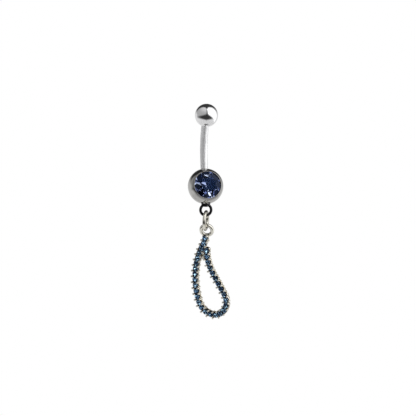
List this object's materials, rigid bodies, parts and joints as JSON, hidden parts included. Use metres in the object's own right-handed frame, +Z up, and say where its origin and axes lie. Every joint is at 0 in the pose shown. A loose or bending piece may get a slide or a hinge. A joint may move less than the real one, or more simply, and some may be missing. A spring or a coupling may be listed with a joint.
{
  "type": "navel ring",
  "caption": "Curved-barbell navel ring with a screw-on ball, a stone-set ball, and a claw-set teardrop pendant that hangs on a jump ring.",
  "frame": {"origin": "middle of the curved bar, on its centreline, where it sits in the piercing", "axes": "+Z up along the bar's chord, towards the plain ball; the large stone faces -Y"},
  "size_m": [0.0094, 0.0073, 0.0478],
  "materials": {
    "polished_steel": "mirror polished surgical steel",
    "silver_plate": "bright silver-coloured plating on a casting",
    "large_stone": "cut glass crystal with a foiled back",
    "small_stone": "cut glass crystal with a foiled back"
  },
  "bodies": {
    "barbell": {"curved_bar": "polished_steel", "gem_ball": "polished_steel", "main_stone": "large_stone"},
    "top_ball": {"top_ball": "polished_steel"},
    "link": {"jump_ring": "silver_plate"},
    "drop": {"pendant_frame": "silver_plate", "stone_01": "small_stone", "stone_02": "small_stone", "stone_03": "small_stone", "stone_04": "small_stone", "stone_05": "small_stone", "stone_06": "small_stone", "stone_07": "small_stone", "stone_08": "small_stone", "stone_09": "small_stone", "stone_10": "small_stone", "stone_11": "small_stone", "stone_12": "small_stone", "stone_13": "small_stone", "stone_14": "small_stone", "stone_15": "small_stone", "stone_16": "small_stone", "stone_17": "small_stone", "stone_18": "small_stone", "stone_19": "small_stone", "stone_20": "small_stone", "stone_21": "small_stone", "stone_22": "small_stone", "stone_23": "small_stone", "stone_24": "small_stone", "stone_25": "small_stone", "stone_26": "small_stone", "stone_27": "small_stone", "stone_28": "small_stone", "stone_29": "small_stone", "stone_30": "small_stone"}
  },
  "joints": [
    {"name": "top_ball_off", "type": "slide", "parent": "barbell", "child": "top_ball", "axis": [0, -0.4167, 0.9091], "range_m": [0, 0.0035]},
    {"name": "link_swing", "type": "hinge", "parent": "barbell", "child": "link", "pos_m": [0, -0.00354, -0.01466], "axis": [1, 0, 0], "range_deg": [-60, 60]},
    {"name": "drop_swing", "type": "hinge", "parent": "link", "child": "drop", "pos_m": [0, -0.00354, -0.01773], "axis": [-0.3907, -0.9205, 0], "range_deg": [-60, 60]}
  ]
}
